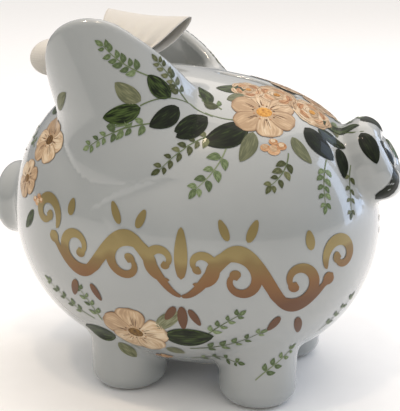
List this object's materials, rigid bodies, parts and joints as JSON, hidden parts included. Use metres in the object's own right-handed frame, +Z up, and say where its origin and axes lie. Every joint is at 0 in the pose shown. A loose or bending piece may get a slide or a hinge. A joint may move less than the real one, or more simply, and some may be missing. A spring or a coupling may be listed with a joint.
{
  "type": "piggy bank",
  "caption": "Hollow glazed ceramic pig that stores coins, with a slot in its back, a pull-out belly bung, hand-painted flowers and a ribbon bow between the ears",
  "frame": {"origin": "on the table under the middle of the overall box", "axes": "+Z up, the pig faces -Y, its left side is +X"},
  "size_m": [0.159, 0.2272, 0.1986],
  "materials": {
    "glaze": "glossy white glaze, hand painted",
    "bung_rubber": "satin",
    "ribbon": "stiffened woven ribbon",
    "hot_glue": "satin"
  },
  "bodies": {
    "bank": {"body_shell": "glaze", "snout": "glaze", "left_ear": "glaze", "right_ear": "glaze", "front_left_foot": "glaze", "front_right_foot": "glaze", "rear_left_foot": "glaze", "rear_right_foot": "glaze", "curly_tail": "glaze", "bow_left_loop": "ribbon", "bow_right_loop": "ribbon", "bow_knot": "ribbon", "bow_glue_pad": "hot_glue"},
    "bung": {"belly_bung": "bung_rubber"}
  },
  "joints": [
    {"name": "bung_pull", "type": "slide", "parent": "bank", "child": "bung", "axis": [0, 0, -1], "range_m": [0, 0.02]}
  ]
}
